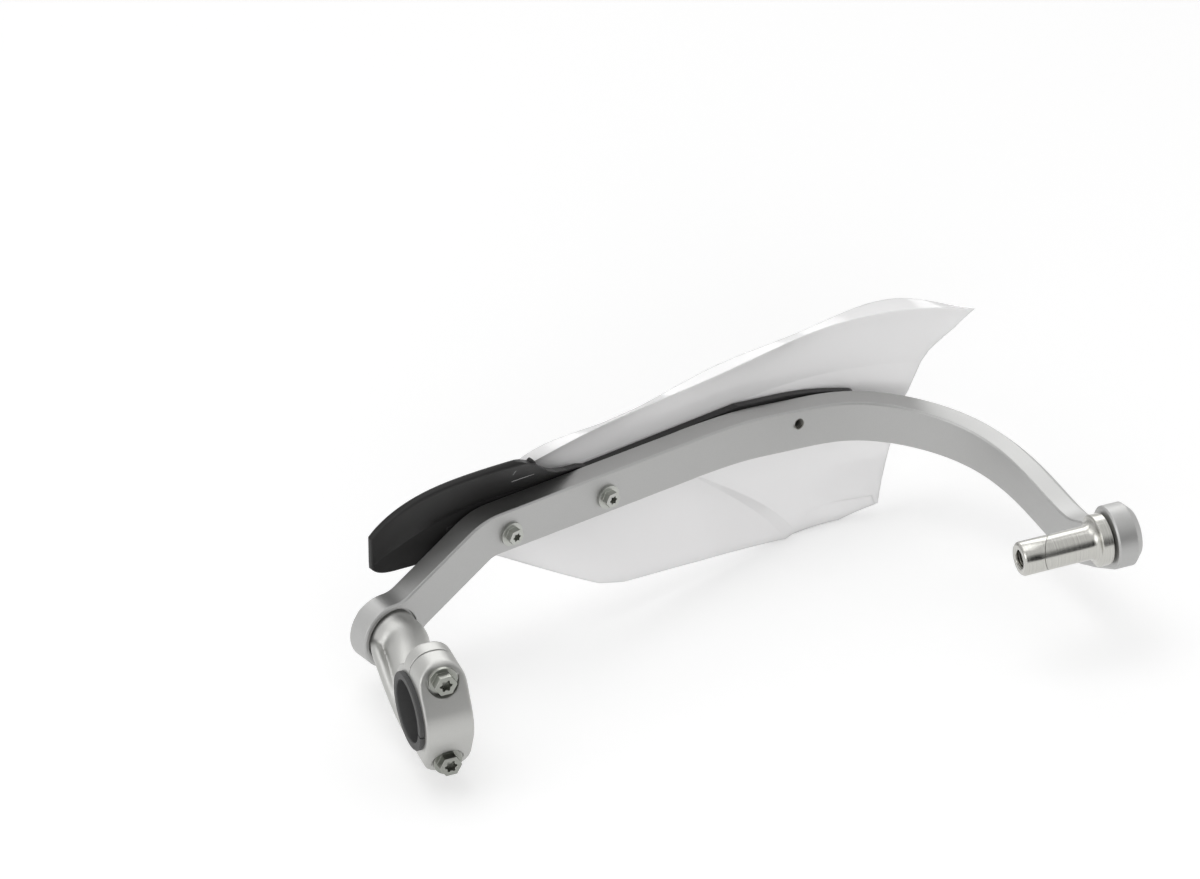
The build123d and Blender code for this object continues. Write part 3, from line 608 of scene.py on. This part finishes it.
# a round bar between two points, as a cutter or a boss
def roundBar(shape, fromPoint, toPoint, radius, sides=72):
    run = Vector(toPoint) - Vector(fromPoint)
    middle = (Vector(fromPoint) + Vector(toPoint)) / 2
    place = Matrix.Translation(middle) @ run.to_track_quat("Z", "Y").to_matrix().to_4x4()
    bmesh.ops.create_cone(
        shape, cap_ends=True, segments=sides, radius1=radius, radius2=radius, depth=run.length, matrix=place
    )


# a bar that runs through stations of (point, half width, half height), on a smooth curve between them
def runThrough(shape, stations, steps=8, around=40):
    rows = []
    for i in range(len(stations) - 1):
        four = [stations[min(max(i + k, 0), len(stations) - 1)] for k in (-1, 0, 1, 2)]
        for step in range(steps + (i == len(stations) - 2)):
            t = step / steps
            weights = (-t**3 + 2 * t**2 - t, 3 * t**3 - 5 * t**2 + 2, -3 * t**3 + 4 * t**2 + t, t**3 - t**2)
            point = sum((Vector(s[0]) * w for s, w in zip(four, weights)), Vector()) / 2
            wide = sum(s[1] * w for s, w in zip(four, weights)) / 2
            tall = sum(s[2] * w for s, w in zip(four, weights)) / 2
            rows.append((point, wide, tall))
    angles = [2 * math.pi * k / around for k in range(around)]
    rings = []
    for i, (point, wide, tall) in enumerate(rows):
        before = rows[max(i - 1, 0)][0]
        after = rows[min(i + 1, len(rows) - 1)][0]
        way = (after - before).normalized()
        sideAxis = straightUp.cross(way).normalized()
        upAxis = way.cross(sideAxis)
        ring = [point + sideAxis * wide * math.cos(a) + upAxis * tall * math.sin(a) for a in angles]
        rings.append([shape.verts.new(place) for place in ring])
    for a, b in zip(rings, rings[1:]):
        for k in range(around):
            shape.faces.new((a[k], a[(k + 1) % around], b[(k + 1) % around], b[k]))
    shape.faces.new(rings[0])
    shape.faces.new(rings[-1])


def addBoolean(body, operation, tool):
    modifier = body.modifiers.new("cut", "BOOLEAN")
    modifier.operation, modifier.object, modifier.solver = operation, tool, "EXACT"


def castPiece(name, node, solids, cutters, outline, look):
    body = helperObject(name + "Body", solids)
    helpers = [body]
    if outline:
        outer = helperObject(name + "Outline", outline)
        helpers.append(outer)
        addBoolean(body, "INTERSECT", outer)
    blend = body.modifiers.new("blend", "REMESH")
    blend.mode, blend.voxel_size = "VOXEL", look["voxel"] * mm
    soften = body.modifiers.new("soften", "SMOOTH")
    soften.factor, soften.iterations = look["softenShare"], look["soften"]
    for i, cutter in enumerate(cutters):
        tool = helperObject(name + "Cutter" + str(i), cutter)
        helpers.append(tool)
        addBoolean(body, "DIFFERENCE", tool)
    mesh = bpy.data.meshes.new_from_object(body.evaluated_get(bpy.context.evaluated_depsgraph_get()))
    for helper in helpers:
        bpy.data.objects.remove(helper)
    mesh.name = name
    mesh.materials.clear()
    mesh.materials.append(materials["blastedClamp"])
    smoothFaces(mesh, look["sharp"])
    piece = addObject(name, mesh)
    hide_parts(node)
    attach(piece, "clamp")
    print(name, "has", len(mesh.polygons), "faces")


castLook = {
    "voxel": 0.52, "soften": 14, "softenShare": 0.5, "sharp": 0.7,
    "half": 11.0, "ringRadius": 21.0, "boreRadius": 15.8, "split": 0.35,
    "lugTop": 29.0, "lugOverlap": 2.0, "frontLug": 7.5, "cornerRadius": 10.0,
    "rearCorner": (-7.5, 25.5, 3.5),  # depth, height, radius
    "screwHeight": 21.8, "screwSeat": -12.4, "seatRadius": 7.5, "shankRadius": 3.3,
    "pivotRadius": 5.0, "bossRadius": 12.5, "bossFront": 3.44, "bossRear": 1.5,
}
# how far the cutters reach, past what they cut
cutReach = {
    "bore": 30, "gap": 80.0, "screwRear": -35, "screwFront": 12, "seatRear": -40,
    "outline": 60, "pivotFront": 10, "pivotRear": 40,
}
neckStations = [
    (pivotSpot + forwardBar * 1.5, 12.4, 12.4),
    (pivotSpot - forwardBar * 3.0, 12.2, 12.2),
    (pivotSpot - forwardBar * 9.0, 11.2, 11.2),
    ((5.0, 54.0, -12.2), 10.2, 10.0),
    ((2.6, 46.0, -14.0), 9.3, 9.0),
    ((0.8, 36.0, -17.0), 9.0, 8.6),
    ((0.0, 26.0, -18.5), 9.4, 8.8),
    ((-0.3, 14.0, -17.0), 10.0, 9.4),
]
ribStations = [
    ((-5.2, 68.0, -10.0), 2.4, 2.4),
    ((-7.4, 59.0, -8.8), 2.6, 2.6),
    ((-8.5, 48.0, -10.4), 2.6, 2.6),
    ((-8.8, 36.0, -15.3), 2.6, 2.6),
    ((-8.2, 22.0, -21.6), 2.6, 2.6),
    ((-7.0, 8.0, -24.6), 2.8, 2.8),
]
screwHeights = (castLook["screwHeight"], -castLook["screwHeight"])


# an outline of (depth, height), as wide as the clamp
def clampWide(edge):
    return hullOf([(x, y, z) for y, z in edge for x in (-castLook["half"], castLook["half"])])


# outline of the clamp from behind, long through the depth
def clampOutline(look, yFrom, yTo):
    bend = look["cornerRadius"]
    wide = look["half"] - bend
    tall = look["lugTop"] - bend
    corners = ((wide, tall, 0), (-wide, tall, 90), (-wide, -tall, 180), (wide, -tall, 270))
    edge = [p for x, z, a in corners for p in arcPoints((x, z), bend, a, a + 90, steps=14)]
    return hullOf([(x, y, z) for x, z in edge for y in (yFrom, yTo)])


# bore, gap between the halves and screw holes; side is 1 for the front half, -1 for the rear one
def clampCutters(look, side):
    bore = bmesh.new()
    roundBar(bore, (-cutReach["bore"], 0, 0), (cutReach["bore"], 0, 0), look["boreRadius"])
    gap = bmesh.new()
    gapMiddle = -side * (cutReach["gap"] / 2 - look["split"])
    bmesh.ops.create_cube(gap, size=cutReach["gap"], matrix=Matrix.Translation((0, gapMiddle, 0)))
    holes = bmesh.new()
    for z in screwHeights:
        roundBar(holes, (0, cutReach["screwRear"], z), (0, cutReach["screwFront"], z), look["shankRadius"])
    return [bore, gap, holes]


lugTop, lugOverlap = castLook["lugTop"], castLook["lugOverlap"]
cornerY, cornerZ, cornerR = castLook["rearCorner"]
rearEdge = arcPoints((0, 0), castLook["ringRadius"], 90, 270, steps=60)
rearEdge += arcPoints((cornerY, cornerZ), cornerR, 60, 200)
rearEdge += arcPoints((cornerY, -cornerZ), cornerR, 160, 300)
rearEdge += [(lugOverlap, lugTop), (lugOverlap, -lugTop)]
seats = bmesh.new()
for z in screwHeights:
    roundBar(seats, (0, castLook["screwSeat"], z), (0, cutReach["seatRear"], z), castLook["seatRadius"])
capCutters = clampCutters(castLook, -1) + [seats]
capOutline = clampOutline(castLook, -cutReach["outline"], cutReach["outline"])
castPiece("clamp_cap_form", "clamp_cap", clampWide(rearEdge), capCutters, capOutline, castLook)

armBody = clampWide(arcPoints((0, 0), castLook["ringRadius"], -90, 90, steps=60))
lugMesh = meshFrom(clampOutline(castLook, -lugOverlap, castLook["frontLug"]), "lugHelper")
armBody.from_mesh(lugMesh)
bpy.data.meshes.remove(lugMesh)
bossFront = pivotSpot + forwardBar * castLook["bossFront"]
bossRear = pivotSpot - forwardBar * castLook["bossRear"]
roundBar(armBody, bossFront, bossRear, castLook["bossRadius"])
runThrough(armBody, neckStations)
runThrough(armBody, ribStations)
pivotBore = bmesh.new()
boreFront = pivotSpot + forwardBar * cutReach["pivotFront"]
boreRear = pivotSpot - forwardBar * cutReach["pivotRear"]
roundBar(pivotBore, boreFront, boreRear, castLook["pivotRadius"])
castPiece("clamp_arm_form", "clamp_arm", armBody, clampCutters(castLook, 1) + [pivotBore], None, castLook)
print("clamp pieces made")


# plug turned on its own axis until the slant between sleeve and wedge lies as it does in use
plugTurn = {"degrees": 75.5, "sharp": 0.5, "merge": 0.000001}
for name in ("expander_sleeve", "expander_wedge"):
    shape = bmesh.new()
    shape.from_mesh(nodes[name].data)
    bmesh.ops.remove_doubles(shape, verts=shape.verts, dist=plugTurn["merge"])
    shape.transform(Matrix.Rotation(math.radians(plugTurn["degrees"]), 4, "X"))
    bmesh.ops.recalc_face_normals(shape, faces=shape.faces)
    mesh = meshFrom(shape, name + "_turned")
    mesh.materials.append(materials["turnedSteel"])
    smoothFaces(mesh, plugTurn["sharp"])
    piece = addObject(name + "_turned", mesh)
    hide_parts(name)
    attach(piece, "guard")
print("plug turned")


# small hook at the outer corner of the wing, where it catches the shield
hookLook = {
    "along": 0.0034, "deep": 0.0030, "high": 0.0042, "taper": 0.75, "lean": -0.55,
    "place": (105.0, -4.4, 50.2),  # along the bar, in front of it and up, in millimetres
    "round": 0.0007, "roundSteps": 3, "roundShape": 0.5,
}
along, inFront, up = hookLook["place"]
spot = barPoint(along, inFront + barSet["forward"], up) * mm
shape = bmesh.new()
bmesh.ops.create_cube(shape, size=1.0)
bmesh.ops.scale(shape, vec=(hookLook["along"], hookLook["deep"], hookLook["high"]), verts=shape.verts)
for v in shape.verts:
    if v.co.z > 0:
        v.co.x *= hookLook["taper"]
bmesh.ops.bevel(
    shape, geom=shape.edges[:], offset=hookLook["round"], segments=hookLook["roundSteps"],
    affect="EDGES", profile=hookLook["roundShape"],
)
turnHook = Matrix((alongBar, forwardBar, straightUp)).transposed().to_4x4()
shape.transform(Matrix.Translation(spot) @ turnHook @ Matrix.Rotation(hookLook["lean"], 4, "Y"))
bmesh.ops.recalc_face_normals(shape, faces=shape.faces)
hookMesh = meshFrom(shape, "wing_hook")
hookMesh.materials.append(materials["blackSpoiler"])
hook = addObject("wing_hook", hookMesh)
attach(hook, "guard")
print("hook made")


# floor that the clamp and the lower edge of the shield rest on
floorSet = {
    "normal": (0.065, 0.077, 0.995), "size": 3.0, "middle": (0.15, 0.05, 0), "gap": 0.0004,
    "colour": (0.80, 0.80, 0.80), "glow": 0.36,
}
normal = Vector(floorSet["normal"]).normalized()
lowest = min(normal.dot(v.co) for node in nodes.values() for v in node.data.vertices)
floorMesh = bpy.data.meshes.new("studioFloor")
half = floorSet["size"] / 2
sideX = normal.cross(Vector((0, 1, 0))).normalized()
sideY = normal.cross(sideX).normalized()
middle = Vector(floorSet["middle"])
centre = normal * (lowest - floorSet["gap"]) + middle - normal * normal.dot(middle)
cornerOffsets = ((-half, -half), (half, -half), (half, half), (-half, half))
corners = [centre + sideX * a + sideY * b for a, b in cornerOffsets]
floorMesh.from_pydata([tuple(c) for c in corners], [], [(0, 1, 2, 3)])
floorMesh.update()
if floorMesh.polygons[0].normal.dot(normal) < 0:
    floorMesh.flip_normals()
floor = addObject("studioFloor", floorMesh)
floorMaterial = bpy.data.materials.new("paleFloor")
tree = emptyTree(floorMaterial)
output = addNode(tree, "ShaderNodeOutputMaterial", (600, 0))
diffuse = addNode(tree, "ShaderNodeBsdfDiffuse", (0, 100))
setInputs(diffuse, {"Color": (*floorSet["colour"], 1.0)})
glow = addNode(tree, "ShaderNodeEmission", (0, -100))
setInputs(glow, {"Strength": floorSet["glow"]})
both = addNode(tree, "ShaderNodeAddShader", (200, 0))
rays = addNode(tree, "ShaderNodeLightPath", (-200, 300))
seen = mathNode(tree, "MAXIMUM", (0, 350), rays.outputs["Is Camera Ray"], rays.outputs["Is Glossy Ray"])
seen = mathNode(tree, "MAXIMUM", (150, 350), seen, rays.outputs["Is Transmission Ray"])
choose = addNode(tree, "ShaderNodeMixShader", (400, 100))
tree.links.new(seen, choose.inputs["Fac"])
tree.links.new(diffuse.outputs["BSDF"], both.inputs[0])
tree.links.new(glow.outputs["Emission"], both.inputs[1])
tree.links.new(diffuse.outputs["BSDF"], choose.inputs[1])
tree.links.new(both.outputs["Shader"], choose.inputs[2])
tree.links.new(choose.outputs["Shader"], output.inputs["Surface"])
floorMesh.materials.append(floorMaterial)
print("floor laid")


# pale room, at full strength to the camera and in reflections, with a dim open side behind the viewer
roomSet = {
    "colour": (0.80, 0.80, 0.80), "fill": 0.70,
    "openSide": (-0.05, -0.99, 0.12), "openDim": 0.03, "openEdge": (0.68, 0.94),
}
world = bpy.data.worlds.new("whiteRoom")
scene.world = world
tree = emptyTree(world)
output = addNode(tree, "ShaderNodeOutputWorld", (600, 0))
ground = addNode(tree, "ShaderNodeBackground", (400, 0))
setInputs(ground, {"Color": (*roomSet["colour"], 1.0)})
rays = addNode(tree, "ShaderNodeLightPath", (-600, 0))
coords = addNode(tree, "ShaderNodeTexCoord", (-900, -300))
openSide = Vector(roomSet["openSide"]).normalized()
side = vectorNode(tree, "DOT_PRODUCT", (-700, -300), coords.outputs["Generated"], openSide)
wall = addNode(tree, "ShaderNodeMapRange", (-450, -300), interpolation_type="SMOOTHSTEP")
tree.links.new(side.outputs["Value"], wall.inputs["Value"])
edgeFrom, edgeTo = roomSet["openEdge"]
setInputs(wall, {"From Min": edgeFrom, "From Max": edgeTo, "To Min": 1.0, "To Max": roomSet["openDim"]})
mirrored = addNode(tree, "ShaderNodeMapRange", (-200, -200))
tree.links.new(rays.outputs["Is Glossy Ray"], mirrored.inputs["Value"])
setInputs(mirrored, {"To Min": roomSet["fill"]})
tree.links.new(wall.outputs["Result"], mirrored.inputs["To Max"])
seen = mathNode(
    tree, "MAXIMUM", (-200, 100), rays.outputs["Is Camera Ray"], rays.outputs["Is Transmission Ray"]
)
level = addNode(tree, "ShaderNodeMapRange", (200, 0))
tree.links.new(seen, level.inputs["Value"])
tree.links.new(mirrored.outputs["Result"], level.inputs["To Min"])
setInputs(level, {"To Max": 1.0})
tree.links.new(level.outputs["Result"], ground.inputs["Strength"])
tree.links.new(ground.outputs["Background"], output.inputs["Surface"])
print("room set")


# soft boxes: a wide one overhead, fills from the viewer and from behind, two that only reflections show
lampSet = {
    "overhead": {
        "place": (-0.30, 0.50, 2.4), "aim": (0.15, 0.05, 0.0), "size": (2.0, 1.6),
        "power": 12.0, "shows": "both",
    },
    "backSoft": {
        "place": (0.70, 1.75, 1.20), "aim": (0.20, 0.05, 0.0), "size": (1.8, 1.0),
        "power": 2.5, "shows": "both",
    },
    "backStrip": {
        "place": (0.72, 1.70, 1.30), "aim": (0.20, 0.05, 0.0), "size": (1.8, 1.0),
        "power": 8.0, "shows": "mirrored",
    },
    "leftStrip": {
        "place": (-1.6, -0.7, 0.9), "aim": (0.12, 0.08, 0.0), "size": (1.2, 1.0),
        "power": 9.0, "shows": "mirrored",
    },
    "viewerFill": {
        "place": (-0.5, -1.9, 0.7), "aim": (0.18, 0.08, 0.0), "size": (1.6, 1.0),
        "power": 19.0, "shows": "lit",
    },
}
for name, lamp in lampSet.items():
    light = bpy.data.lights.new(name, "AREA")
    light.shape = "RECTANGLE"
    light.size, light.size_y = lamp["size"]
    light.energy = lamp["power"]
    holder = addObject(name, light)
    aim = Vector(lamp["aim"]) - Vector(lamp["place"])
    facing = aim.to_track_quat("-Z", "Y").to_matrix().to_4x4()
    holder.matrix_world = Matrix.Translation(lamp["place"]) @ facing
    holder.visible_glossy = lamp["shows"] != "lit"
    holder.visible_diffuse = lamp["shows"] != "mirrored"
    holder.visible_camera = False
print("lights set")
